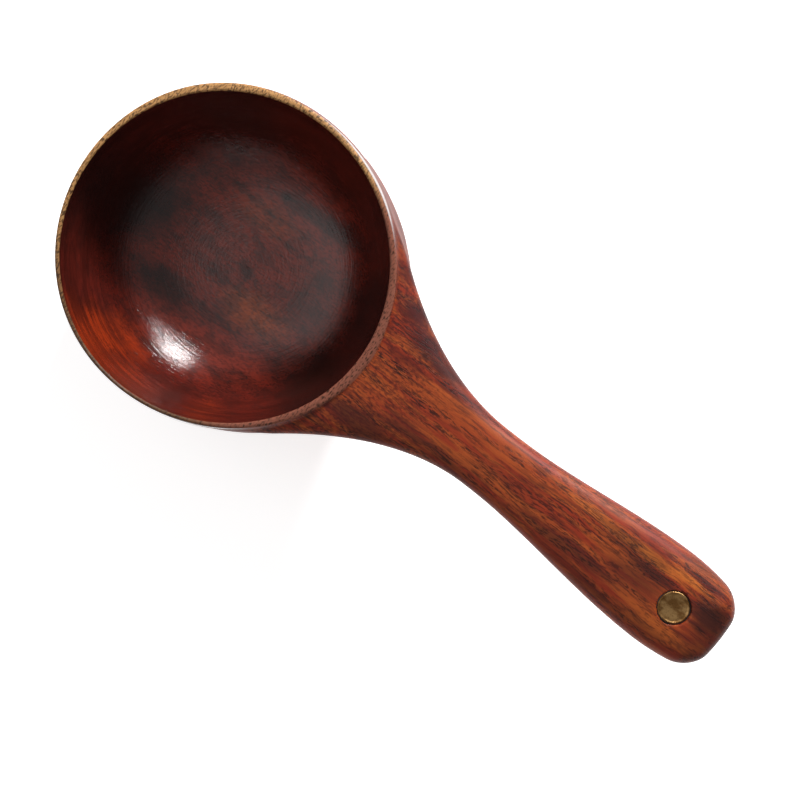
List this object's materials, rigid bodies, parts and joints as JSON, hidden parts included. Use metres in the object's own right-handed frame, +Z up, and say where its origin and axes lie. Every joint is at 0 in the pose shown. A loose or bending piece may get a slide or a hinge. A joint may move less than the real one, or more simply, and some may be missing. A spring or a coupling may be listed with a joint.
{
  "type": "wooden ladle",
  "caption": "Round deep wooden bowl with a straight swelling handle carved from the same billet and a brass pin near its end; scoops and pours water, soup or grain.",
  "frame": {"origin": "centre of the bowl's flat base, on the surface the ladle stands on", "axes": "+X along the handle towards its end, +Z up out of the bowl's mouth, +Y completes a right-handed frame"},
  "size_m": [0.2007, 0.0872, 0.0508],
  "materials": {
    "lacquered_wood": "red-brown hardwood under clear satin lacquer, bare tan wood on the worn lip",
    "aged_brass": "dull aged brass, filed and slightly dished"
  },
  "bodies": {
    "root": {"ladle_body": "lacquered_wood", "brass_pin": "aged_brass"}
  },
  "joints": []
}
